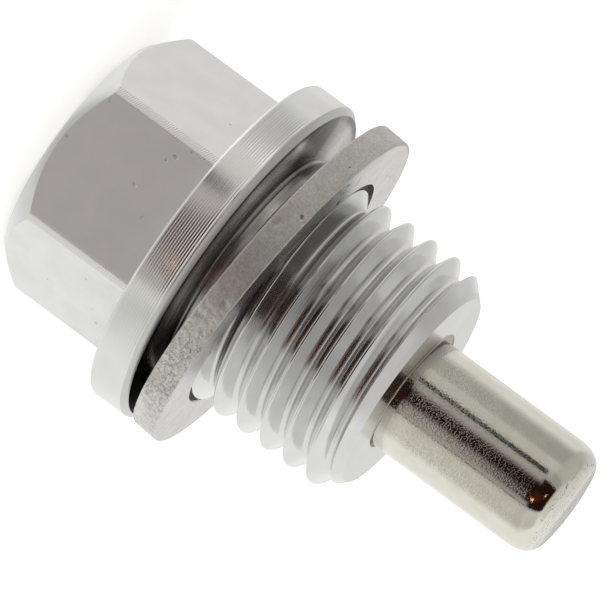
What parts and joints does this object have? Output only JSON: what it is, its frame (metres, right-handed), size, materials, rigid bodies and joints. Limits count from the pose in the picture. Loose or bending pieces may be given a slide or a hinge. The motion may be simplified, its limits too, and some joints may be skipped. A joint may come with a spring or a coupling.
{
  "type": "oil drain plug",
  "caption": "Threaded drain plug with a hexagon head, a flange, a loose flat sealing washer and a round magnet standing out of its tip.",
  "frame": {"origin": "centre of the hexagon head's outer face, which the plug stands on", "axes": "+Z along the plug's axis from the head to the free end of the magnet, +X through a corner of the hexagon, -Y out of a wrench flat"},
  "size_m": [0.0201, 0.02, 0.0314],
  "materials": {
    "bright_aluminium": "turned from bar and bright anodised clear",
    "satin_aluminium": "plain, tumbled to a satin with pits",
    "nickel_plate": "nickel plate with a fine grain"
  },
  "bodies": {
    "root": {"plug_body": "bright_aluminium", "sealing_washer": "satin_aluminium", "magnet": "nickel_plate"}
  },
  "joints": []
}
